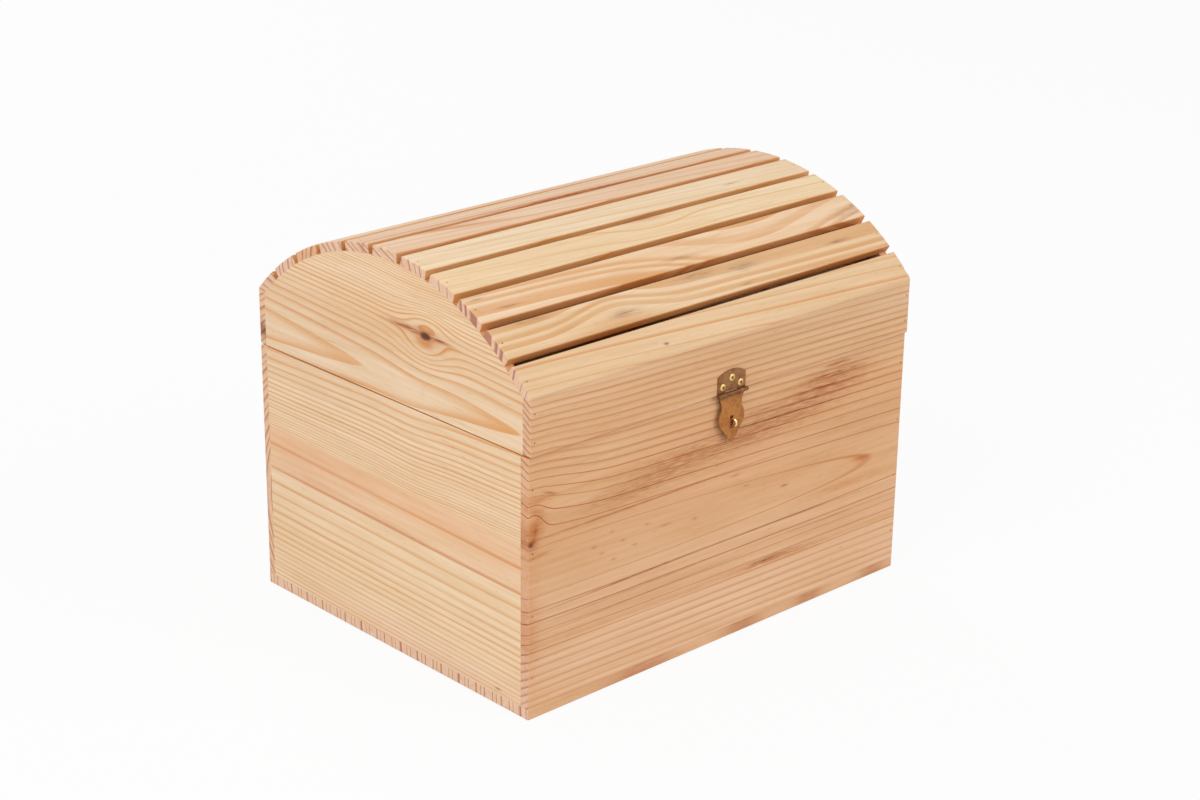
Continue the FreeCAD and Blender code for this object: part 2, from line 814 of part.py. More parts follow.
hasp_at = ("dims.hasp_offset", "fits.hasp_axis_y", "fits.seam_middle")
plate_half = "dims.hasp_plate_width / 2"
plate_body = new_body("hasp_plate_sheet")
plate_sketch = new_sketch(plate_body, "XY_Plane", "hasp_plate_outline", "-dims.hasp_axis_offset")
plate_corners = [
    (f"-{plate_half}", "dims.knuckle_notch"),
    (plate_half, "dims.knuckle_notch"),
    (plate_half, "dims.hasp_plate_side"),
    (f"-{plate_half}", "dims.hasp_plate_side"),
]
outline(plate_sketch, plate_corners, {2: "fits.plate_arc"})
pad(plate_body, plate_sketch, "dims.hasp_plate_thickness")
barrel_half = "dims.hasp_barrel_length / 2"
plate_knuckles = knuckles(
    "hasp_plate",
    [
        (f"-{barrel_half}", "dims.hasp_knuckle_length"),
        (f"{barrel_half} - dims.hasp_knuckle_length", "dims.hasp_knuckle_length"),
    ],
    [(f"-{plate_half}", "fits.plate_tab"), (f"{plate_half} - fits.plate_tab", "fits.plate_tab")],
    1, "-dims.hasp_axis_offset", "dims.hasp_plate_thickness", "dims.hasp_barrel_radius",
)
plate_bored = cut(
    "hasp_plate_bored", joined("hasp_plate_blank", [plate_body] + plate_knuckles),
    [pin_bore("hasp_plate", "dims.hasp_barrel_length", "dims.hasp_pin_radius")],
)
place(plate_bored, hasp_at, FACING["front"])
keep("hasp_plate", cut("hasp_plate_drilled", plate_bored, bores["hasp_plate"]))
hasp_pin = pin(
    "hasp_rod", "dims.hasp_barrel_length", "dims.hasp_pin_radius",
    "dims.hasp_barrel_radius", hasp_at,
)
keep("hasp_pin", hasp_pin)

# The strap hangs from the pin over the staple, which stands out through its slot.
strap_body = new_body("hasp_strap_sheet")
strap_sketch = new_sketch(strap_body, "XY_Plane", "hasp_strap_outline", "-dims.hasp_barrel_radius")
right_side = [
    ("dims.strap_shoulder_width / 2", "-dims.strap_shoulder_drop"),
    ("dims.strap_neck_width / 2", "-dims.strap_neck_end"),
    ("dims.strap_neck_width / 2", "-dims.strap_neck_start"),
    ("dims.strap_top_width / 2", "-dims.knuckle_notch"),
]
left_side = [(f"-{x}", y) for x, y in reversed(right_side)]
strap_corners = [("0", "-dims.strap_length")] + right_side + left_side
outline(
    strap_sketch, strap_corners,
    {1: "dims.strap_bulge_radius", 7: "dims.strap_bulge_radius"},
)
box_outline(
    strap_sketch,
    "-fits.slot_half_width", "-dims.staple_drop - fits.slot_half_height",
    "fits.slot_half_width", "fits.slot_half_height - dims.staple_drop",
)
strap_pad = pad(strap_body, strap_sketch, "dims.strap_thickness")
strap_end = value("-dims.strap_length")


def is_strap_tip(middle):
    return near(middle.x, 0) and near(middle.y, strap_end)


ease(strap_body, strap_pad, "dims.strap_tip_round", is_strap_tip)
strap_span = [("-fits.strap_knuckle / 2", "fits.strap_knuckle")]
strap_knuckles = knuckles(
    "hasp_strap", strap_span, strap_span, -1,
    "-dims.hasp_barrel_radius", "dims.strap_thickness", "dims.hasp_barrel_radius",
)
strap = cut(
    "hasp_strap_bored", joined("hasp_strap_blank", [strap_body] + strap_knuckles),
    [pin_bore("hasp_strap", "dims.hasp_barrel_length", "dims.hasp_pin_radius")],
)
place(strap, hasp_at, FACING["front"])
bind(strap, Placement__Rotation__Angle="90 deg - dims.strap_lift * 1 deg")
keep("hasp_strap", strap)

doc.recompute()
for thing in doc.Objects:
    if {"Invalid", "Error"} & set(thing.State):
        raise RuntimeError(f"{thing.Name} failed: {thing.State}")
for label, thing in nodes.items():
    if thing.Shape.isNull() or not thing.Shape.isValid():
        raise RuntimeError(f"{label} has no valid shape")

os.makedirs("parts", exist_ok=True)
for label, thing in nodes.items():
    thing.Shape.exportStep(f"parts/{label}.step")
print(f"{len(nodes)} nodes written")
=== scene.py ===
import bpy
import math
import numpy as np
from mathutils import Matrix, Vector

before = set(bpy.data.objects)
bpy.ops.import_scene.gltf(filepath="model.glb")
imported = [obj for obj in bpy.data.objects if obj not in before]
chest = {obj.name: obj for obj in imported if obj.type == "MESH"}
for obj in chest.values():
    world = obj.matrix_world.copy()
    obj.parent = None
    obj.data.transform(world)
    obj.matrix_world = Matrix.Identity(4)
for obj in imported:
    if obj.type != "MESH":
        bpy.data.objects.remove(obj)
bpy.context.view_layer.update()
scene = bpy.context.scene
scene.view_settings.view_transform = "Standard"
print("chest loaded:", len(chest), "nodes")


# shader helpers: most make one node and return its output, so that formulas can nest

def feed(tree, socket, value):
    if isinstance(value, bpy.types.NodeSocket):
        tree.links.new(value, socket)
    else:
        socket.default_value = value


def calc(tree, operation, *values):
    node = tree.nodes.new("ShaderNodeMath")
    node.operation = operation
    for socket, value in zip(node.inputs, values):
        feed(tree, socket, value)
    return node.outputs[0]


def vecCalc(tree, operation, *values):
    node = tree.nodes.new("ShaderNodeVectorMath")
    node.operation = operation
    for socket, value in zip(node.inputs, values):
        feed(tree, socket, value)
    return node.outputs["Value" if operation in ("DOT_PRODUCT", "DISTANCE") else "Vector"]


def parts(tree, vector):
    node = tree.nodes.new("ShaderNodeSeparateXYZ")
    feed(tree, node.inputs[0], vector)
    return node.outputs


def combine(tree, x, y, z):
    node = tree.nodes.new("ShaderNodeCombineXYZ")
    for socket, value in zip(node.inputs, (x, y, z)):
        feed(tree, socket, value)
    return node.outputs[0]


def ease(tree, value, low, high, start=0.0, end=1.0):
    # start below low, end above high, and a smooth step between
    node = tree.nodes.new("ShaderNodeMapRange")
    node.interpolation_type = "SMOOTHSTEP"
    for socket, number in zip(node.inputs, (value, low, high, start, end)):
        feed(tree, socket, number)
    return node.outputs[0]


def bell(tree, *offsets):
    # e to the minus sum of squares
    total = 0.0
    for offset in offsets:
        total = calc(tree, "MULTIPLY_ADD", offset, offset, total)
    return calc(tree, "EXPONENT", calc(tree, "MULTIPLY", total, -1.0))


def away(tree, value, centre, scale):
    return calc(tree, "DIVIDE", calc(tree, "SUBTRACT", value, centre), scale)


def cloud(tree, vector, stretch, shift=(0, 0, 0), detail=1.0, rough=0.5):
    # soft noise about zero, from -0.5 to 0.5, with stretch lumps per metre
    node = tree.nodes.new("ShaderNodeTexNoise")
    place = vecCalc(tree, "MULTIPLY_ADD", vector, stretch, shift)
    feed(tree, node.inputs["Vector"], place)
    node.inputs["Scale"].default_value = 1.0
    node.inputs["Detail"].default_value = detail
    node.inputs["Roughness"].default_value = rough
    return calc(tree, "SUBTRACT", node.outputs["Fac"], 0.5)


def blendColour(tree, amount, a, b, kind="MIX"):
    node = tree.nodes.new("ShaderNodeMix")
    node.data_type = "RGBA"
    node.blend_type = kind
    for label, value in (("Factor_Float", amount), ("A_Color", a), ("B_Color", b)):
        feed(tree, next(s for s in node.inputs if s.identifier == label), value)
    return next(s for s in node.outputs if s.identifier == "Result_Color")


def newGroup(name, inputs, outputs):
    tree = bpy.data.node_groups.new(name, "ShaderNodeTree")
    for label, value in inputs.items():
        kind = {3: "Vector", 4: "Color"}.get(len(value) if hasattr(value, "__len__") else 1, "Float")
        socket = tree.interface.new_socket(label, in_out="INPUT", socket_type="NodeSocket" + kind)
        socket.default_value = value
    for label, kind in outputs.items():
        tree.interface.new_socket(label, in_out="OUTPUT", socket_type="NodeSocket" + kind)
    return tree, tree.nodes.new("NodeGroupInput").outputs, tree.nodes.new("NodeGroupOutput").inputs


def useGroup(tree, group, values):
    node = tree.nodes.new("ShaderNodeGroup")
    node.node_tree = group
    for label, value in values.items():
        feed(tree, node.inputs[label], value)
    return node.outputs


def rgb(red, green, blue):
    # a colour as picked on screen, 0 to 255, made linear
    value = np.array([red, green, blue]) / 255
    value = np.where(value <= 0.04045, value / 12.92, ((value + 0.055) / 1.055) ** 2.4)
    return (*value.tolist(), 1.0)


# Pine is one solid field of growth rings, cut wherever the board was sawn. The log's own axes are X along the
# grain and Y, Z across it, in metres from the pith.
# distance = (across ^ point + depth ^ point) ^ (1 / point), where 2 gives round rings and less sharper flames
# ring number = (distance / spacing) ^ crowding + first
# Late wood darkens up to each ring's edge, over the part of the ring past start, or over its width where that
# is less, and is at its darkest from full on. Slope draws the rings apart behind the board's face, which lies
# at depth face, so it tips them in the end grain alone.
ringHabit = {
    "swayLumps": (6, 17, 17), "swayDetail": 2.0, "swayRough": 0.4, "seedStep": 7.1, "leastRadius": 0.0001,
    "beat": 2.3, "beatShare": 0.5,  # rings draw together and apart in turn
    "farBlend": (0.9, 1.08),  # shares of far between which the far width and weight come in
    "latestStart": 0.92, "leastRise": 0.04, "darkening": 1.2, "edgeFade": 0.96,
    "weights": (0.5, 0.55),  # each ring's weight: the first times its own lot, plus the second
    "faintCore": (0.003, 0.015, 0.1, 1.0),  # the first rings are faint
}


def makeRings():
    tree, give, out = newGroup("pineRings", {
        "Log": (0, 0, 0), "Spacing": 0.005, "Crowding": 1.0, "First": 0.0, "Point": 2.0, "Lean": 0.0,
        "Push": 0.0, "Slope": 0.0, "Face": 0.0, "Bow": 0.0, "Bow At": 0.0, "Bow Width": 0.03, "Wander": 0.001,
        "Uneven": 0.3, "Start": 0.4, "Full": 0.96, "Width": 0.003, "Far": 1.0, "Far Width": 0.003,
        "Far Weight": 1.0, "Seed": 0.0,
    }, {"Late": "Float"})
    log, seed = give["Log"], give["Seed"]
    along, across, depth = parts(tree, log)
    shift = combine(tree, seed, calc(tree, "MULTIPLY", seed, ringHabit["seedStep"]), 0.0)
    sway = cloud(tree, log, ringHabit["swayLumps"], shift, ringHabit["swayDetail"], ringHabit["swayRough"])
    bowed = bell(tree, away(tree, along, give["Bow At"], give["Bow Width"]))
    bend = calc(tree, "MULTIPLY", give["Bow"], bowed)
    across = calc(tree, "ADD", calc(tree, "MULTIPLY_ADD", sway, give["Wander"], across), bend)
    inside = calc(tree, "MULTIPLY_ADD", calc(tree, "SUBTRACT", depth, give["Face"]), give["Slope"], 1.0)
    across = calc(tree, "MULTIPLY", across, inside)
    depth = calc(tree, "MULTIPLY_ADD", give["Lean"], along, depth)
    powers = [calc(tree, "POWER", calc(tree, "ABSOLUTE", side), give["Point"]) for side in (across, depth)]
    radius = calc(tree, "POWER", calc(tree, "ADD", *powers), calc(tree, "DIVIDE", 1.0, give["Point"]))
    radius = calc(tree, "MAXIMUM", calc(tree, "ADD", radius, give["Push"]), ringHabit["leastRadius"])
    rise = calc(tree, "POWER", calc(tree, "DIVIDE", radius, give["Spacing"]), give["Crowding"])
    beat = calc(tree, "SINE", calc(tree, "MULTIPLY_ADD", rise, ringHabit["beat"], seed))
    swing = calc(tree, "MULTIPLY", give["Uneven"], ringHabit["beatShare"])
    count = calc(tree, "MULTIPLY_ADD", beat, swing, calc(tree, "ADD", rise, give["First"]))
    phase = calc(tree, "FRACT", count)
    lot = tree.nodes.new("ShaderNodeTexWhiteNoise")
    lot.noise_dimensions = "1D"
    feed(tree, lot.inputs["W"], calc(tree, "ADD", calc(tree, "FLOOR", count), seed))
    farFrom, farTo = [calc(tree, "MULTIPLY", give["Far"], share) for share in ringHabit["farBlend"]]
    outer = ease(tree, radius, farFrom, farTo)
    wider = calc(tree, "SUBTRACT", give["Far Width"], give["Width"])
    width = calc(tree, "MULTIPLY_ADD", outer, wider, give["Width"])
    crowd = calc(tree, "DIVIDE", calc(tree, "MULTIPLY", give["Crowding"], rise), radius)
    thin = calc(tree, "SUBTRACT", 1.0, calc(tree, "MULTIPLY", width, crowd))
    start = calc(tree, "MINIMUM", calc(tree, "MAXIMUM", give["Start"], thin), ringHabit["latestStart"])
    full = calc(tree, "MAXIMUM", give["Full"], calc(tree, "ADD", start, ringHabit["leastRise"]))
    late = calc(tree, "POWER", ease(tree, phase, start, full), ringHabit["darkening"])
    late = calc(tree, "MULTIPLY", late, ease(tree, phase, ringHabit["edgeFade"], 1.0, 1.0, 0.0))
    weight = calc(tree, "MULTIPLY_ADD", lot.outputs["Value"], *ringHabit["weights"])
    weight = calc(tree, "MULTIPLY", weight, ease(tree, radius, *ringHabit["faintCore"]))
    farWeight = calc(tree, "MULTIPLY_ADD", outer, calc(tree, "SUBTRACT", give["Far Weight"], 1.0), 1.0)
    feed(tree, out["Late"], calc(tree, "MULTIPLY", late, calc(tree, "MULTIPLY", weight, farWeight)))
    return tree


# colour from the rings, with fibres, short resin ducts, slow changes of tone and a redder cut end
toneHabit = {
    "slowLumps": (5, 24, 24), "fibreLumps": (10, 260, 260), "ductLumps": (95, 1100, 1100),
    "fadeLumps": (9, 120, 120), "seedSteps": (5.3, 2.9), "warmRange": (-0.2, 0.2),
    "fadeShare": 1.1, "fibreShare": 0.9,  # how far the lines are broken up
    "ductRange": (0.2, 0.34, 0.0, 0.3), "fibreTint": (0.26, 0.48, 0.85), "endDarker": 1.25,
    "rough": 0.54, "roughFibre": 0.14, "roughLate": -0.10,
}


def makeTone():
    tree, give, out = newGroup("pineTone", {
        "Log": (0, 0, 0), "Late": 0.0, "End": 0.0, "Seed": 0.0, "Contrast": 1.0,
        "Pale": (0.8, 0.6, 0.4, 1), "Warm": (0.8, 0.55, 0.35, 1), "Line": (0.6, 0.33, 0.14, 1),
        "End Pale": (0.6, 0.4, 0.26, 1), "End Line": (0.36, 0.16, 0.08, 1),
    }, {"Color": "Color", "Roughness": "Float", "Height": "Float"})
    log, seed, late = give["Log"], give["Seed"], give["Late"]
    shiftX, shiftZ = [calc(tree, "MULTIPLY", seed, step) for step in toneHabit["seedSteps"]]
    shift = combine(tree, shiftX, seed, shiftZ)
    slow = cloud(tree, log, toneHabit["slowLumps"], shift)
    fibre = cloud(tree, log, toneHabit["fibreLumps"], shift, detail=3.0, rough=0.62)
    duct = cloud(tree, log, toneHabit["ductLumps"], shift, detail=0.0)
    fade = cloud(tree, log, toneHabit["fadeLumps"], shift)
    ground = blendColour(tree, ease(tree, slow, *toneHabit["warmRange"]), give["Pale"], give["Warm"])
    broken = calc(tree, "MULTIPLY_ADD", fibre, toneHabit["fibreShare"], 1.0)
    broken = calc(tree, "MULTIPLY_ADD", fade, toneHabit["fadeShare"], broken)
    amount = calc(tree, "MULTIPLY", late, calc(tree, "MULTIPLY", give["Contrast"], broken))
    colour = blendColour(tree, amount, ground, give["Line"])
    fleck = calc(tree, "SUBTRACT", fibre, ease(tree, duct, *toneHabit["ductRange"]))
    flecks = combine(tree, fleck, fleck, fleck)
    light = vecCalc(tree, "MULTIPLY_ADD", flecks, toneHabit["fibreTint"], (1, 1, 1))
    endLate = calc(tree, "MINIMUM", calc(tree, "MULTIPLY", late, toneHabit["endDarker"]), 1.0)
    cutEnd = blendColour(tree, endLate, give["End Pale"], give["End Line"])
    colour = blendColour(tree, give["End"], colour, cutEnd)
    rough = calc(tree, "MULTIPLY_ADD", fibre, toneHabit["roughFibre"], toneHabit["rough"])
    feed(tree, out["Color"], blendColour(tree, 1.0, colour, light, "MULTIPLY"))
    feed(tree, out["Roughness"], calc(tree, "MULTIPLY_ADD", late, toneHabit["roughLate"], rough))
    feed(tree, out["Height"], fibre)
    return tree


# a knot: its heart, the resin round it and out along the grain, and the push that bends the rings past it
knotHabit = {
    "heartRagged": 0.9, "heartRange": (0.5, 1.1, 1.0, 0.0), "halo": (0.55, 0.65), "taper": 0.4,
    "resinRagged": 1.8,
}


def makeKnot():
    tree, give, out = newGroup("pineKnot", {
        "Log": (0, 0, 0), "Grain": 0.0, "Along": 0.0, "Across": 0.0, "Length": 0.008, "Width": 0.004,
        "Bend": 0.010, "Under": 1.0, "Reach": 0.025, "Spread": 0.016, "Streak": 6.0,
    }, {"Heart": "Float", "Resin": "Float", "Push": "Float"})
    along, across = parts(tree, give["Log"])[:2]
    x = away(tree, along, give["Along"], give["Length"])
    y = away(tree, across, give["Across"], give["Width"])
    reach = calc(tree, "SQRT", calc(tree, "MULTIPLY_ADD", x, x, calc(tree, "MULTIPLY", y, y)))
    rim = calc(tree, "MULTIPLY_ADD", give["Grain"], knotHabit["heartRagged"], reach)
    feed(tree, out["Heart"], ease(tree, rim, *knotHabit["heartRange"]))
    haloX, haloY = [calc(tree, "MULTIPLY", *pair) for pair in zip((x, y), knotHabit["halo"])]
    halo = bell(tree, haloX, haloY)
    taper = calc(tree, "MULTIPLY_ADD", calc(tree, "ABSOLUTE", x), knotHabit["taper"], 1.0)
    streak = bell(tree, calc(tree, "DIVIDE", x, give["Streak"]), calc(tree, "MULTIPLY", y, taper))
    ragged = calc(tree, "MULTIPLY_ADD", give["Grain"], knotHabit["resinRagged"], 1.0)
    resin = calc(tree, "MULTIPLY", calc(tree, "MAXIMUM", halo, streak), ragged)
    feed(tree, out["Resin"], calc(tree, "MAXIMUM", resin, 0.0))
    side = away(tree, across, give["Across"], give["Spread"])
    fall = bell(tree, away(tree, along, give["Along"], give["Reach"]), side)
    lopsided = calc(tree, "MAXIMUM", side, calc(tree, "MULTIPLY", side, give["Under"]))
    inward = calc(tree, "MULTIPLY", give["Bend"], -1.0)
    feed(tree, out["Push"], calc(tree, "MULTIPLY", calc(tree, "MULTIPLY", lopsided, fall), inward))
    return tree


# a soft patch of resin, stain or bruise, drawn out along the grain and broken up by the fibres
patchTear = 3.0


def makePatch():
    tree, give, out = newGroup("pinePatch", {
        "Log": (0, 0, 0), "Grain": 0.0, "Along": 0.0, "Across": 0.0, "Length": 0.05, "Width": 0.01,
        "Broken": 0.5, "Slant": 0.0, "Most": 1.0,
    }, {"Amount": "Float"})
    along, across = parts(tree, give["Log"])[:2]
    x = calc(tree, "SUBTRACT", along, give["Along"])
    y = calc(tree, "SUBTRACT", across, give["Across"])
    y = calc(tree, "MULTIPLY_ADD", x, calc(tree, "MULTIPLY", give["Slant"], -1.0), y)
    fall = bell(tree, calc(tree, "DIVIDE", x, give["Length"]), calc(tree, "DIVIDE", y, give["Width"]))
    ragged = calc(tree, "MULTIPLY", calc(tree, "MULTIPLY", give["Broken"], patchTear), give["Most"])
    torn = calc(tree, "MULTIPLY_ADD", give["Grain"], ragged, give["Most"])
    feed(tree, out["Amount"], calc(tree, "MULTIPLY", fall, torn))
    return tree


rings, tone, knot, patch = makeRings(), makeTone(), makeKnot(), makePatch()
print("pine groups made")


def logAxes(along, across):
    # columns are the log's axes in the chest's frame, with across squared up to along
    x = Vector(along).normalized()
    y = Vector(across)
    y = (y - x * y.dot(x)).normalized()
    return Matrix((x, y, x.cross(y))).transposed()


# what every board starts from; colours are as seen on screen
pineStock = {
    "along": (1, 0, 0), "across": (0, 0, 1), "spacing": 0.005, "crowding": 1.0, "first": 0.0, "point": 2.0,
    "lean": 0.0, "slope": 0.0, "face": 0.0, "bow": 0.0, "bowAt": 0.0, "bowWidth": 0.03, "wander": 0.0022,
    "uneven": 0.3, "start": 0.4, "full": 0.96, "width": 0.003, "far": 1.0, "farWidth": 0.003,
    "farWeight": 1.0, "seed": 1.0, "contrast": 0.9,
    "pale": (237, 207, 170), "warm": (233, 197, 156), "line": (209, 148, 90),
    "endPale": (227, 186, 152), "endLine": (186, 124, 88), "edge": None, "knots": [], "patches": [],
}
ringLabels = [
    "Spacing", "Crowding", "First", "Point", "Lean", "Slope", "Face", "Bow", "Bow At", "Bow Width", "Wander",
    "Uneven", "Start", "Full", "Width", "Far", "Far Width", "Far Weight", "Seed",
]
colourLabels = ["Pale", "Warm", "Line", "End Pale", "End Line"]
pineSurface = {
    "grainLumps": (85, 850, 850), "grainDetail": 2.0, "grainRough": 0.6, "endFacing": (0.6, 0.92),
    "edgeFacing": (0.55, 0.95), "bump": 0.1, "specular": 0.3,
}
bumpDepth = 0.0002


def keyOf(label):
    # a group's input "Bow At" is bowAt in a piece's dictionary
    return label[0].lower() + label[1:].replace(" ", "")


def tinted(tree, amount, colour, tint):
    return blendColour(tree, amount, colour, rgb(*tint), "MULTIPLY")


def facing(tree, normal, axis):
    # 1 on faces square to the axis, 0 on those along it
    return calc(tree, "ABSOLUTE", vecCalc(tree, "DOT_PRODUCT", normal, axis))


def newMaterial(name):
    material = bpy.data.materials.new(name)
    material.use_nodes = True
    return material, material.node_tree


def coat(tree, colour, surface, bumpStrength):
    # colour, roughness and fine relief onto the material's shader
    shader = tree.nodes["Principled BSDF"]
    bump = tree.nodes.new("ShaderNodeBump")
    bump.inputs["Strength"].default_value = bumpStrength
    bump.inputs["Distance"].default_value = bumpDepth
    tree.links.new(surface["Height"], bump.inputs["Height"])
    tree.links.new(colour, shader.inputs["Base Color"])
    tree.links.new(surface["Roughness"], shader.inputs["Roughness"])
    tree.links.new(bump.outputs[0], shader.inputs["Normal"])
    return shader


def pine(name, board):
    board = {**pineStock, **board}
    material, tree = newMaterial(name)
    where = tree.nodes.new("ShaderNodeTexCoord").outputs
    mapping = tree.nodes.new("ShaderNodeMapping")
    mapping.vector_type = "TEXTURE"
    mapping.inputs["Location"].default_value = board["pith"]
    mapping.inputs["Rotation"].default_value = logAxes(board["along"], board["across"]).to_euler()
    tree.links.new(where["Object"], mapping.inputs["Vector"])
    log = mapping.outputs[0]
    grain = 0.0
    if board["knots"] or board["patches"]:
        rough = pineSurface["grainRough"]
        grain = cloud(tree, log, pineSurface["grainLumps"], detail=pineSurface["grainDetail"], rough=rough)
    knots = [useGroup(tree, knot, {"Log": log, "Grain": grain, **spot["shape"]}) for spot in board["knots"]]
    push = 0.0
    for sockets in knots:
        push = calc(tree, "ADD", push, sockets["Push"])
    ringValues = {label: board[keyOf(label)] for label in ringLabels}
    late = useGroup(tree, rings, {"Log": log, "Push": push, **ringValues})["Late"]
    cutEnd = ease(tree, facing(tree, where["Normal"], board["along"]), *pineSurface["endFacing"])
    surface = useGroup(tree, tone, {
        "Log": log, "Late": late, "End": cutEnd, "Seed": board["seed"], "Contrast": board["contrast"],
        **{label: rgb(*board[keyOf(label)]) for label in colourLabels},
    })
    colour = surface["Color"]
    if board["edge"]:  # painted shade: the sawn edges, such as the slats' sides in the gaps, are tinted browner
        shadedSides = ease(tree, facing(tree, where["Normal"], board["across"]), *pineSurface["edgeFacing"])
        colour = tinted(tree, shadedSides, colour, board["edge"])
    for zone in board["patches"]:
        amount = useGroup(tree, patch, {"Log": log, "Grain": grain, **zone["shape"]})["Amount"]
        if zone["onLines"]:
            lines = calc(tree, "MULTIPLY_ADD", late, zone["onLines"], 1.0 - zone["onLines"])
            amount = calc(tree, "MULTIPLY", amount, lines)
        colour = tinted(tree, amount, colour, zone["tint"])
    for spot, sockets in zip(board["knots"], knots):
        colour = tinted(tree, calc(tree, "MULTIPLY", sockets["Resin"], spot["resin"]), colour, spot["tint"])
        heart = calc(tree, "MULTIPLY", sockets["Heart"], spot["heart"])
        colour = blendColour(tree, heart, colour, rgb(*spot["dark"]))
    shader = coat(tree, colour, surface, pineSurface["bump"])
    shader.inputs["Specular IOR Level"].default_value = pineSurface["specular"]
    return material


def dress(material, *names):
    for name in names:
        chest[name].data.materials.clear()
        chest[name].data.materials.append(material)


# a patch on a board: its middle along and across the log, its reach both ways, how far the fibres break it
# up, the tint that it multiplies the wood by, its strength, its slant to the grain, and the share of it that
# shows only on the late wood
def mark(along, across, length, width, broken, tint, amount=1.0, slant=0.0, onLines=0.0):
    shape = {
        "Along": along, "Across": across, "Length": length, "Width": width, "Broken": broken, "Slant": slant,
        "Most": amount,
    }
    return {"shape": shape, "tint": tint, "onLines": onLines}


# the front is one wide board, sawn through at the lid's seam after it was nailed up
frontBoard = {
    "pith": (0, -0.14386, 0.1105), "along": (1, 0, -0.0246), "spacing": 0.017385, "crowding": 1.434,
    "first": -1.22, "point": 2.3, "lean": 0.0417, "slope": 6.2, "face": 0.0144, "wander": 0.0016,
    "uneven": 0.05, "width": 0.0012, "far": 0.066, "farWidth": 0.0036, "farWeight": 0.66, "seed": 2.0,
    "contrast": 1.0, "pale": (233, 194, 158), "warm": (229, 186, 147), "line": (204, 134, 70),
    "edge": (244, 208, 160), "endPale": (228, 189, 160), "endLine": (172, 104, 74),
    "knots": [{
        "shape": {
            "Along": -0.1982, "Across": 0.0228, "Length": 0.0026, "Width": 0.0025, "Bend": 0.022,
            "Under": 0.1, "Reach": 0.050, "Spread": 0.060, "Streak": 2.0,
        },
        "heart": 0.8, "resin": 0.7, "tint": (226, 186, 150), "dark": (106, 54, 32),
    }, {  # the rings arched close over its body
        "shape": {
            "Along": -0.1965, "Across": 0.0265, "Length": 0.0042, "Width": 0.0065, "Bend": 0.020,
            "Under": 0.1, "Reach": 0.011, "Spread": 0.020, "Streak": 1.0,
        },
        "heart": 0.0, "resin": 0.5, "tint": (232, 196, 154), "dark": (106, 54, 32),
    }],
    "patches": [
        mark(0.0, 0.060, 1.0, 0.095, 0.1, (247, 232, 213)),
        mark(0.150, 0.130, 0.25, 0.050, 0.1, (246, 253, 255)),
        # warmer ground in the flame, under the lines below it and at the right
        mark(0.0, 0.002, 1.0, 0.020, 0.1, (250, 245, 238)),
        mark(0.0, -0.046, 1.0, 0.018, 0.3, (247, 239, 229)),
        mark(-0.03, -0.0578, 0.25, 0.0026, 0.6, (247, 234, 222)),
        mark(0.145, -0.009, 0.075, 0.016, 0.2, (249, 242, 230)),
        mark(0.145, 0.036, 0.075, 0.020, 0.2, (244, 240, 234)),
        mark(0.0, 0.0540, 0.30, 0.0035, 0.6, (250, 244, 234)),
        mark(0.0, -0.0110, 0.06, 0.0040, 0.3, (251, 246, 236)),
        # paler ground near the seam
        mark(-0.130, 0.0740, 0.060, 0.0080, 0.2, (257, 264, 271)),
        mark(0.125, 0.0850, 0.070, 0.0060, 0.2, (259, 264, 266)),
        # darker thin lines above and below the flame
        mark(0.0, -0.037, 1.0, 0.014, 0.4, (222, 184, 172), onLines=1.0),
        mark(-0.02, 0.050, 0.24, 0.024, 0.4, (222, 184, 172), onLines=1.0),
        # the knot at the left edge: its body, torn fibres, arched lines, stained ground and the corner below
        mark(-0.1950, 0.0340, 0.0090, 0.0088, 0.5, (230, 198, 156), slant=0.3),
        mark(-0.1935, 0.0465, 0.0090, 0.0035, 0.6, (236, 210, 180), slant=-0.3),
        mark(-0.1945, 0.0300, 0.0022, 0.0050, 1.2, (222, 170, 130), amount=0.7, slant=1.5),
        mark(-0.1930, 0.0450, 0.0110, 0.0090, 0.4, (204, 146, 116), onLines=1.0),
        mark(-0.1935, 0.0551, 0.0120, 0.0040, 0.8, (242, 219, 198)),
        mark(-0.1990, -0.0450, 0.0100, 0.0400, 1.0, (246, 226, 212)),
        mark(-0.1930, 0.0122, 0.0110, 0.0014, 0.6, (230, 184, 140), amount=0.9, slant=0.09),
        mark(-0.181, 0.058, 0.006, 0.0012, 0.6, (206, 150, 126), amount=0.8, slant=-0.3),
        # browner zones full of flecks, left of the hasp and right of it
        mark(-0.075, 0.046, 0.070, 0.012, 1.1, (224, 202, 180), amount=0.9, slant=0.14),
        mark(0.110, 0.074, 0.045, 0.016, 1.3, (230, 206, 184), amount=0.9, slant=0.17),
        mark(0.100, 0.072, 0.055, 0.018, 0.8, (208, 168, 144), slant=0.17, onLines=1.0),
        mark(0.030, 0.056, 0.060, 0.012, 1.2, (222, 196, 174), amount=0.8, slant=0.10),
        mark(0.153, 0.0025, 0.011, 0.0017, 0.2, (236, 196, 146), amount=0.9, slant=-0.03),
        # smudges and small marks
        mark(0.047, -0.0560, 0.017, 0.0013, 1.3, (206, 168, 142), amount=0.8, slant=0.043),
        mark(0.059, -0.0571, 0.042, 0.0030, 1.2, (226, 196, 170), amount=0.8),
        mark(0.140, -0.0165, 0.055, 0.0035, 0.6, (240, 220, 194), amount=0.7),
        mark(0.064, 0.0015, 0.0040, 0.0008, 0.4, (200, 150, 134), amount=0.9),
        mark(-0.065, 0.0029, 0.0060, 0.0010, 0.4, (236, 204, 172), amount=0.7),
        mark(0.008, 0.0237, 0.0050, 0.0008, 0.4, (226, 190, 170), amount=0.7),
    ],
}
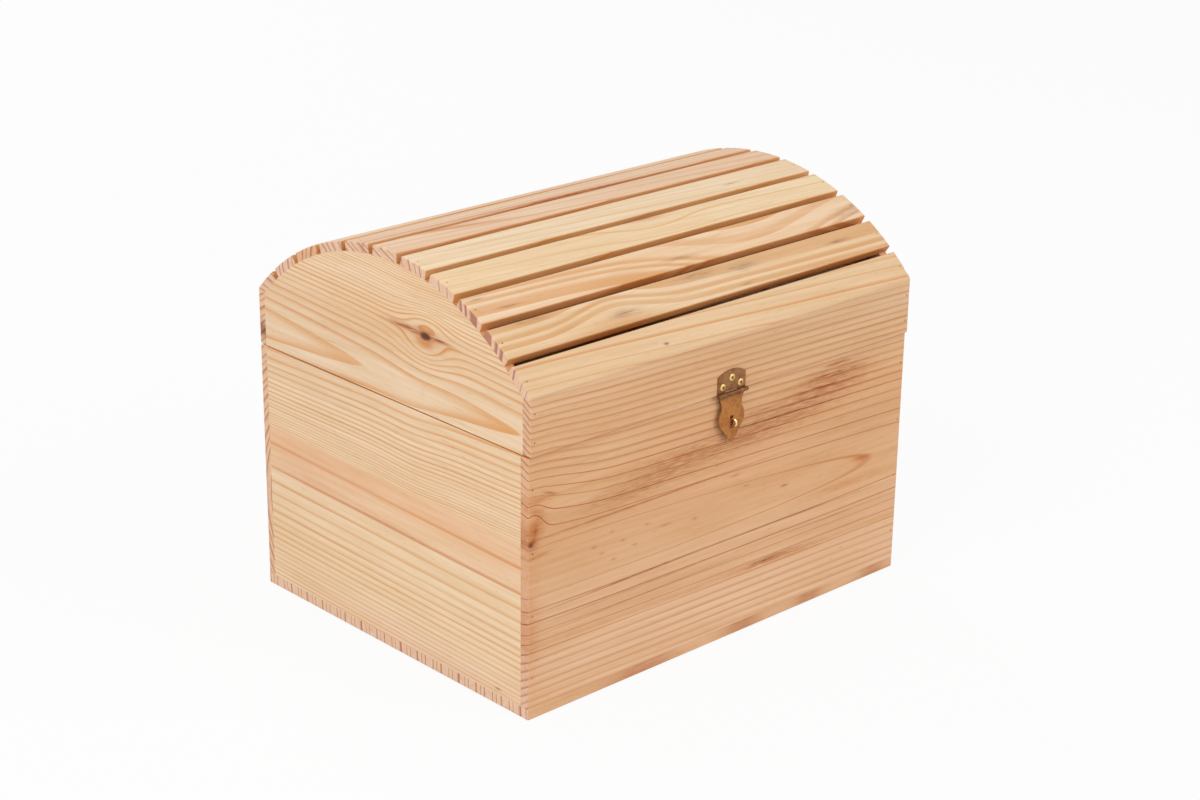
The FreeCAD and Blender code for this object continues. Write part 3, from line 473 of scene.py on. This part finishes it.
# thin red-brown streaks in the zone right of the hasp: along, across, length, amount
streakLook = {"width": 0.0010, "broken": 0.9, "tint": (196, 140, 110)}
streaks = [
    (0.119, 0.0901, 0.015, 1.0), (0.113, 0.0825, 0.028, 0.8), (0.098, 0.0740, 0.020, 0.5),
    (0.031, 0.0702, 0.018, 0.6), (0.046, 0.0611, 0.036, 0.5),
]
frontBoard["patches"] += [
    mark(along, across, length, amount=amount, **streakLook) for along, across, length, amount in streaks
]
# the darkest lines, first the one that leaves the knot, then those below the flame: along, across, length,
# slant, amount
darkLook = {"width": 0.0007, "broken": 0.6, "tint": (200, 146, 116)}
darkLines = [
    (-0.090, 0.0269, 0.110, 0.018, 0.8),
    (-0.105, -0.0299, 0.075, 0.027, 0.8), (0.080, -0.0268, 0.090, 0.005, 0.7),
    (-0.098, -0.0400, 0.090, 0.020, 0.35), (-0.0925, -0.0473, 0.085, 0.027, 0.4),
    (0.120, -0.0395, 0.080, 0.010, 0.5),
]
frontBoard["patches"] += [
    mark(along, across, length, amount=amount, slant=slant, **darkLook)
    for along, across, length, slant, amount in darkLines
]
# small flecks in the flame: along, across
fleckLook = {"length": 0.0026, "width": 0.0008, "broken": 0.6, "tint": (218, 176, 152), "amount": 0.6}
flecks = [
    (-0.137, 0.0043), (-0.1195, 0.0121), (-0.108, 0.0023), (-0.096, -0.0043), (-0.084, 0.0085),
    (-0.034, -0.0001), (-0.117, -0.0103), (-0.129, -0.0025), (0.0205, 0.0122),
]
frontBoard["patches"] += [mark(along, across, **fleckLook) for along, across in flecks]
dress(pine("frontPine", frontBoard), "box_front_panel", "lid_front_rail")

# the left end too: its arched top is the lid's end, and a second board is glued on below
leftEndBoard = {
    "pith": (-0.080, 0, 0.2217), "along": (0, 1, 0.0142), "spacing": 0.06234, "crowding": 3.679,
    "first": -7.975, "point": 1.627, "lean": 0.0154, "bow": 0.0025, "bowAt": -0.030, "bowWidth": 0.034,
    "wander": 0.0020, "uneven": 0.06, "start": 0.45, "width": 0.0016, "far": 0.128, "farWidth": 0.0024,
    "farWeight": 1.35, "seed": 5.0, "contrast": 0.78, "pale": (235, 206, 172), "warm": (232, 199, 161),
    "line": (219, 154, 86), "edge": (244, 208, 160),
    "knots": [{
        "shape": {
            "Along": -0.0455, "Across": 0.0433, "Length": 0.0070, "Width": 0.0034, "Bend": 0.0125,
            "Reach": 0.026, "Spread": 0.0155, "Streak": 4.0,
        },
        "heart": 0.95, "resin": 1.0, "tint": (216, 164, 120), "dark": (84, 36, 18),
    }],
    "patches": [
        mark(-0.022, 0.0448, 0.016, 0.0016, 0.8, (198, 140, 116)),
        mark(-0.062, 0.0442, 0.010, 0.0011, 0.6, (198, 140, 116)),
        # warmer ground above the seam and towards the back
        mark(0.0, 0.028, 1.0, 0.018, 0.2, (249, 243, 236)),
        mark(0.080, -0.010, 0.100, 0.050, 0.2, (250, 248, 247)),
    ],
}
dress(pine("leftEndPine", leftEndBoard), "lid_left_end", "box_left_end_upper")

leftLowBoard = {
    "pith": (-0.180, 0, 0.158), "along": (0, 1, 0.0198), "spacing": 0.05024, "crowding": 2.616,
    "first": 0.325, "wander": 0.0018, "uneven": 0.06, "start": 0.38, "width": 0.0042, "seed": 8.0,
    "contrast": 0.76, "pale": (237, 210, 175), "warm": (233, 201, 161), "line": (216, 150, 86),
    "patches": [
        mark(0.0, -0.031, 1.0, 0.021, 0.15, (252, 234, 226)),
        mark(-0.04, -0.0545, 0.15, 0.004, 0.3, (228, 166, 146), onLines=1.0),
        mark(-0.127, -0.142, 0.003, 0.0008, 0.3, (180, 120, 90), amount=0.9),
        # paler ground below the red line, and warmer along it, at the back and at the foot
        mark(-0.060, -0.100, 0.120, 0.022, 0.1, (258, 262, 267)),
        mark(0.020, -0.0535, 0.300, 0.0045, 0.3, (250, 240, 233)),
        mark(0.100, -0.046, 0.060, 0.022, 0.2, (249, 240, 235)),
        mark(-0.050, -0.142, 0.120, 0.012, 0.3, (253, 246, 248)),
    ],
}
dress(pine("leftLowPine", leftLowBoard), "box_left_end_lower")

backBoard = {
    "pith": (0, 0.06, 0.08), "spacing": 0.0052, "lean": 0.01, "wander": 0.003, "uneven": 0.3, "seed": 11.0,
    "patches": [mark(-0.2, 0.137, 0.010, 0.006, 0.8, (164, 130, 112))],
}
dress(pine("backPine", backBoard), "box_back_panel", "lid_back_rail")

bottomBoard = {
    "pith": (0, 0.35, -0.02), "across": (0, 1, 0), "spacing": 0.0062, "first": -0.57, "wander": 0.004,
    "uneven": 0.5, "width": 0.0020, "seed": 13.0, "pale": (230, 186, 146), "warm": (222, 174, 130),
    "line": (192, 130, 84), "endPale": (232, 194, 164), "endLine": (178, 112, 84),
    "patches": [  # darker stretches of its front edge
        mark(along, -0.507, length, 0.02, 0.5, (228, 204, 190))
        for along, length in ((-0.085, 0.035), (0.022, 0.022), (0.098, 0.016), (0.175, 0.018))
    ],
}
dress(pine("bottomPine", bottomBoard), "box_bottom")

# the right end isn't seen in the photo, and is sawn like the left
rightEndBoard = {
    **leftEndBoard, "pith": (0.080, 0.03, 0.236), "lean": 0.011, "bow": 0.004, "bowAt": 0.05, "seed": 17.0,
    "knots": [], "patches": [],
}
dress(pine("rightEndPine", rightEndBoard), "lid_right_end", "box_right_end_upper")
rightLowBoard = {
    **leftLowBoard, "pith": (0.180, 0, 0.165), "seed": 19.0, "patches": leftLowBoard["patches"][:1],
}
dress(pine("rightLowPine", rightLowBoard), "box_right_end_lower")

# the lid's slats, from the back over the top to the front; each is sawn from a log of its own, the pith of
# which is shift ahead of the slat's middle and drop below its face
arch = {"centre": (-0.001, 0.1035), "pitch": 8.80, "radius": 0.2154, "topSlat": 6}
# edge tints the slats' sides in the gaps browner: painted shade
slatStock = {
    "shift": -0.045, "drop": 0.030, "tilt": 0.02, "spacing": 0.0060, "wander": 0.004, "uneven": 0.3,
    "start": 0.35, "contrast": 0.8, "pale": (230, 198, 162), "warm": (226, 188, 148), "line": (212, 150, 86),
    "endPale": (228, 188, 158), "endLine": (178, 120, 94), "edge": (242, 206, 164),
}
slats = {
    1: {"seed": 21.0, "tilt": -0.02},
    2: {"seed": 22.0, "shift": 0.050, "drop": 0.022, "lean": 0.015},
    3: {"seed": 23.0, "shift": 0.050, "endPale": (224, 176, 136), "endLine": (176, 110, 68)},
    4: {
        "seed": 24.0, "pale": (226, 192, 158), "warm": (221, 183, 146), "line": (208, 148, 92),
        "contrast": 0.7, "lean": -0.012,
    },
    5: {  # pinkish tan, browner to its front edge
        "seed": 25.0, "pale": (226, 192, 158), "warm": (221, 183, 146), "line": (206, 144, 86),
        "tilt": 0.03, "slope": -14.0, "face": -0.030,
        "patches": [mark(0.0, 0.058, 0.3, 0.0025, 0.9, (214, 160, 118), amount=0.7)],
    },
    6: {  # pinkish tan, with an orange band across its left part
        "seed": 26.0, "pale": (229, 197, 164), "warm": (225, 188, 153), "line": (210, 150, 98),
        "tilt": 0.08, "contrast": 0.75, "spacing": 0.0090, "slope": -24.0, "face": -0.030,
        "endLine": (164, 108, 90),
        "patches": [mark(-0.130, 0.047, 0.055, 0.0035, 0.3, (226, 172, 128), amount=0.9, slant=0.14)],
    },
    7: {  # pale cream
        "seed": 27.0, "pale": (233, 207, 172), "warm": (229, 200, 162), "line": (220, 172, 112),
        "tilt": 0.055, "contrast": 0.6, "spacing": 0.0064, "width": 0.0022,
        "patches": [mark(0.122, 0.042, 0.008, 0.0010, 0.9, (200, 160, 130), amount=0.7)],
    },
    8: {  # pale cream, its lines bent round a knot at the back edge
        "seed": 28.0, "pale": (234, 207, 169), "warm": (231, 199, 157), "line": (220, 160, 88),
        "tilt": 0.05, "spacing": 0.0095, "start": 0.5, "width": 0.0020,
        "knots": [{
            "shape": {
                "Along": 0.008, "Across": 0.030, "Length": 0.012, "Width": 0.0028, "Bend": 0.020,
                "Reach": 0.055, "Spread": 0.022, "Streak": 2.5,
            },
            "heart": 0.35, "resin": 0.9, "tint": (222, 158, 112), "dark": (150, 84, 50),
        }],
    },
    9: {  # orange lines that swing forwards and back in nested bends
        "seed": 29.0, "pale": (234, 202, 167), "warm": (230, 193, 153), "line": (212, 150, 88),
        "contrast": 0.75, "spacing": 0.0078, "bow": -0.028, "bowAt": 0.080, "bowWidth": 0.095,
        "start": 0.25, "full": 0.7, "width": 0.009, "uneven": 0.6,
        "patches": [
            mark(-0.188, 0.040, 0.007, 0.0010, 1.2, (206, 200, 200), amount=0.8),
            mark(-0.168, 0.053, 0.009, 0.0012, 1.2, (198, 186, 182), amount=0.8),
            mark(0.0, 0.050, 0.016, 0.0016, 1.2, (204, 198, 198), amount=0.8),
            mark(0.190, 0.046, 0.020, 0.0050, 1.2, (212, 206, 206), amount=0.7, slant=-0.15),
        ],
    },
    10: {  # orange-brown bands with a hump, and grey smudges
        "seed": 30.0, "pale": (230, 199, 161), "warm": (225, 188, 145), "line": (207, 148, 88),
        "tilt": 0.018, "contrast": 0.75, "spacing": 0.0095, "bow": 0.011, "bowAt": -0.088, "bowWidth": 0.042,
        "start": 0.2, "full": 0.65, "width": 0.011, "uneven": 0.7,
        "patches": [
            mark(-0.081, 0.051, 0.013, 0.0030, 1.3, (196, 186, 184), amount=0.65),
            mark(0.001, 0.036, 0.018, 0.0034, 1.3, (204, 198, 196), amount=0.55),
            mark(0.047, 0.039, 0.015, 0.0036, 1.3, (198, 192, 192), amount=0.6),
            mark(0.041, 0.054, 0.006, 0.0010, 1.3, (196, 186, 184), amount=0.8),
            mark(-0.161, 0.036, 0.016, 0.0030, 1.2, (210, 200, 196), amount=0.6),
            mark(0.154, 0.039, 0.012, 0.0014, 1.3, (196, 186, 184), amount=0.8),
        ],
    },
    11: {  # yellower, with straight lines that run slowly forwards
        "seed": 31.0, "pale": (225, 191, 151), "warm": (221, 183, 141), "line": (208, 142, 78),
        "tilt": 0.050, "spacing": 0.0078, "width": 0.0022, "wander": 0.003,
        "patches": [mark(-0.062, 0.052, 0.0022, 0.0012, 0.6, (160, 150, 150), amount=0.9)],
    },
}
for number, look in slats.items():
    look = {**slatStock, **look}
    angle = math.radians((arch["topSlat"] - number) * arch["pitch"])
    out = Vector((0, math.sin(angle), math.cos(angle)))
    ahead = Vector((0, -math.cos(angle), math.sin(angle)))
    rise = arch["radius"] - look.pop("drop")
    look["pith"] = Vector((0, *arch["centre"])) + out * rise + ahead * look.pop("shift")
    look["along"] = Vector((1, 0, 0)) + ahead * look.pop("tilt")
    look["across"] = ahead
    dress(pine(f"slatPine{number:02d}", look), f"lid_slat_{number:02d}")
print("boards dressed")


# metal: a base tone that stains and dulls in soft blotches, with fine scratches along X
patinaHabit = {
    "blotchLumps": (260, 260, 260), "scratchLumps": (250, 2600, 2600), "seedStep": 3.1,
    "stainRange": (-0.18, 0.2), "scratchStain": 0.25, "scratchRelief": 0.4,
}


def makePatina():
    tree, give, out = newGroup("metalPatina", {
        "Where": (0, 0, 0), "Bright": (0.5, 0.35, 0.15, 1), "Stain": (0.2, 0.1, 0.05, 1), "Amount": 0.5,
        "Polish": 0.3, "Dull": 0.6, "Seed": 0.0,
    }, {"Color": "Color", "Roughness": "Float", "Height": "Float"})
    shift = combine(tree, give["Seed"], calc(tree, "MULTIPLY", give["Seed"], patinaHabit["seedStep"]), 0.0)
    blotch = cloud(tree, give["Where"], patinaHabit["blotchLumps"], shift, detail=2.0, rough=0.6)
    scratch = cloud(tree, give["Where"], patinaHabit["scratchLumps"], shift)
    uneven = calc(tree, "MULTIPLY_ADD", scratch, patinaHabit["scratchStain"], blotch)
    stain = calc(tree, "MULTIPLY", ease(tree, uneven, *patinaHabit["stainRange"]), give["Amount"])
    duller = calc(tree, "SUBTRACT", give["Dull"], give["Polish"])
    feed(tree, out["Color"], blendColour(tree, stain, give["Bright"], give["Stain"]))
    feed(tree, out["Roughness"], calc(tree, "MULTIPLY_ADD", stain, duller, give["Polish"]))
    feed(tree, out["Height"], calc(tree, "MULTIPLY_ADD", scratch, patinaHabit["scratchRelief"], blotch))
    return tree


patina = makePatina()


def metal(name, finish, centres=None, rod=None):
    material, tree = newMaterial(name)
    where = tree.nodes.new("ShaderNodeTexCoord").outputs["Object"]
    surface = useGroup(tree, patina, {
        "Where": where, "Bright": rgb(*finish["bright"]), "Stain": rgb(*finish["stain"]),
        **{label: finish[keyOf(label)] for label in ("Amount", "Polish", "Dull", "Seed")},
    })
    colour = surface["Color"]
    if centres:  # painted shade: the recess at the middle of each screw's head is tinted darker
        nearest = 1.0
        for centre in centres:
            nearest = calc(tree, "MINIMUM", nearest, vecCalc(tree, "DISTANCE", where, centre))
        colour = tinted(tree, ease(tree, nearest, *finish["recess"], 1.0, 0.0), colour, finish["recessShade"])
    if rod:  # grime round the knuckles
        y, z = parts(tree, where)[1:]
        gap = vecCalc(tree, "DISTANCE", combine(tree, 0.0, y, z), rod)
        colour = tinted(tree, ease(tree, gap, *finish["grimy"], 1.0, 0.0), colour, finish["grime"])
    shader = coat(tree, colour, surface, finish["bump"])
    shader.inputs["Metallic"].default_value = finish["metallic"]
    return material


# recess and grimy are distances in metres, between which the painted shade in the screw heads and the grime
# round the knuckles fade out
plateFinish = {
    "bright": (160, 110, 66), "stain": (124, 80, 46), "amount": 0.8, "polish": 0.42, "dull": 0.62,
    "metallic": 0.7, "bump": 0.3, "grime": (226, 216, 208), "grimy": (0.0016, 0.0050), "seed": 1.0,
}
strapFinish = {
    **plateFinish, "bright": (184, 120, 60), "stain": (150, 92, 42), "polish": 0.38, "dull": 0.58,
    "grime": (180, 180, 188), "seed": 4.0,
}
rodFinish = {**plateFinish, "bright": (176, 138, 96), "stain": (96, 62, 40), "seed": 6.0}
# the screws' recess colour is painted shade, darkening the middle of each head
screwFinish = {
    "bright": (238, 202, 132), "stain": (212, 162, 92), "amount": 0.5, "polish": 0.26, "dull": 0.42,
    "metallic": 0.55, "bump": 0.15, "recess": (0.000765, 0.0017), "recessShade": (150, 104, 62), "seed": 2.0,
}
ringFinish = {
    "bright": (246, 220, 168), "stain": (204, 150, 84), "amount": 0.45, "polish": 0.14, "dull": 0.34,
    "metallic": 1.0, "bump": 0.1, "seed": 3.0,
}
hingeFinish = {
    "bright": (196, 158, 96), "stain": (142, 104, 58), "amount": 0.6, "polish": 0.28, "dull": 0.5,
    "metallic": 1.0, "bump": 0.2, "seed": 5.0,
}
bradFinish = {
    "bright": (206, 166, 126), "stain": (160, 118, 84), "amount": 0.7, "polish": 0.45, "dull": 0.6,
    "metallic": 0.3, "bump": 0.2, "seed": 7.0,
}
haspRod = (0, -0.161, 0.2044)
haspScrews = [(x, -0.1605, z) for x, z in ((-0.0110, 0.2104), (-0.0016, 0.2163), (0.0078, 0.2104))]
dress(metal("haspPlateBronze", plateFinish, rod=haspRod), "hasp_plate")
dress(metal("haspStrapBronze", strapFinish, rod=haspRod), "hasp_strap")
dress(metal("haspRodBronze", rodFinish), "hasp_pin")
dress(metal("haspScrewBrass", screwFinish, haspScrews), "hasp_screws")
dress(metal("stapleBrass", ringFinish), "hasp_staple")
hinges = [f"hinge_{end}_{piece}" for end in ("left", "right") for piece in ("box_leaf", "lid_leaf", "pin")]
dress(metal("hingeBrass", hingeFinish), *hinges)
dress(metal("hingeScrewBrass", {**screwFinish, "seed": 8.0}), "hinge_box_screws", "hinge_lid_screws")
brads = [f"{place}_brads" for place in ("box_corner", "box_bottom", "lid_corner", "lid_slat")]
dress(metal("bradSteel", bradFinish), *brads)
print("metal dressed")

# studio: pale floor, white surround, one large soft lamp above the left end and two fills
studio = {
    "floorHalf": 6.0, "floorPoints": 3, "floorDrop": 0.0004, "floorTone": 0.80, "floorGlow": 0.92,
    "ambient": 0.50, "aim": (0, 0, 0.15),
    "lamps": {
        "overLeft": {"at": (-2.4, -0.5, 2.2), "size": 2.0, "power": 48},
        "frontFill": {"at": (1.2, -2.4, 1.7), "size": 1.6, "power": 30},
        "backFill": {"at": (0.6, 2.8, 1.8), "size": 1.6, "power": 20},
    },
}


def seenAsGround(tree):
    # 1 where the floor or surround is looked at, straight or in a reflection, and 0 where it only lights
    path = tree.nodes.new("ShaderNodeLightPath").outputs
    indirect = calc(tree, "ADD", path["Is Glossy Ray"], path["Is Transmission Ray"])
    return calc(tree, "MINIMUM", calc(tree, "ADD", path["Is Camera Ray"], indirect), 1.0)


def makeFloor():
    # a flat square grid, just under the chest
    half, count = studio["floorHalf"], studio["floorPoints"]
    side = np.linspace(-half, half, count)
    x, y = np.meshgrid(side, side)
    points = np.stack([x.ravel(), y.ravel(), np.full(x.size, -studio["floorDrop"])], 1)
    steps = np.arange(count - 1)
    corner = (steps[:, None] * count + steps).ravel()
    faces = np.stack([corner, corner + 1, corner + count + 1, corner + count], 1)
    mesh = bpy.data.meshes.new("studioFloor")
    mesh.from_pydata(points.tolist(), [], faces.tolist())
    floor = bpy.data.objects.new("studioFloor", mesh)
    scene.collection.objects.link(floor)
    material, tree = newMaterial("studioFloor")
    tree.nodes.remove(tree.nodes["Principled BSDF"])
    matt = tree.nodes.new("ShaderNodeBsdfDiffuse")
    matt.inputs["Color"].default_value = (*(studio["floorTone"],) * 3, 1)
    glow = tree.nodes.new("ShaderNodeEmission")
    glow.inputs["Color"].default_value = (1, 1, 1, 1)
    mix = tree.nodes.new("ShaderNodeMixShader")
    feed(tree, mix.inputs[0], calc(tree, "MULTIPLY", seenAsGround(tree), studio["floorGlow"]))
    tree.links.new(matt.outputs[0], mix.inputs[1])
    tree.links.new(glow.outputs[0], mix.inputs[2])
    tree.links.new(mix.outputs[0], tree.nodes["Material Output"].inputs["Surface"])
    mesh.materials.append(material)


def makeSurround():
    world = bpy.data.worlds.new("studioSurround")
    scene.world = world
    world.use_nodes = True
    tree = world.node_tree
    back = tree.nodes["Background"]
    back.inputs["Color"].default_value = (1, 1, 1, 1)
    strength = calc(tree, "MULTIPLY_ADD", seenAsGround(tree), 1.0 - studio["ambient"], studio["ambient"])
    tree.links.new(strength, back.inputs["Strength"])


def makeLamps():
    for name, lamp in studio["lamps"].items():
        data = bpy.data.lights.new(name, "AREA")
        data.size = lamp["size"]
        data.energy = lamp["power"]
        light = bpy.data.objects.new(name, data)
        light.location = lamp["at"]
        aim = Vector(studio["aim"]) - Vector(lamp["at"])
        light.rotation_euler = aim.to_track_quat("-Z", "Y").to_euler()
        light.visible_camera = False
        scene.collection.objects.link(light)


makeFloor()
makeSurround()
makeLamps()
print("studio made")

# the photograph's own viewpoint
view = {
    "at": (-1.2333, -1.3227, 0.8458), "azimuth": -43.35, "elevation": 20.99, "roll": 0.744,
    "focal": 2441.7, "imageWidth": 1200, "sensor": 36.0, "clipEnd": 50.0,
}


def makeCamera():
    azimuth, elevation, roll = (math.radians(view[k]) for k in ("azimuth", "elevation", "roll"))
    level = Vector((math.sin(azimuth), -math.cos(azimuth), 0))
    back = level * math.cos(elevation) + Vector((0, 0, math.sin(elevation)))
    right = (-back).cross(Vector((0, 0, 1))).normalized()
    up = right.cross(-back)
    turnedRight = right * math.cos(roll) + up * math.sin(roll)
    turnedUp = up * math.cos(roll) - right * math.sin(roll)
    data = bpy.data.cameras.new("camera")
    data.sensor_width = view["sensor"]
    data.lens = view["focal"] * view["sensor"] / view["imageWidth"]
    data.clip_end = view["clipEnd"]
    camera = bpy.data.objects.new("camera", data)
    turn = Matrix((turnedRight, turnedUp, back)).transposed().to_quaternion()
    camera.matrix_world = Matrix.LocRotScale(Vector(view["at"]), turn, None)
    scene.collection.objects.link(camera)
    scene.camera = camera


makeCamera()
print("camera set")
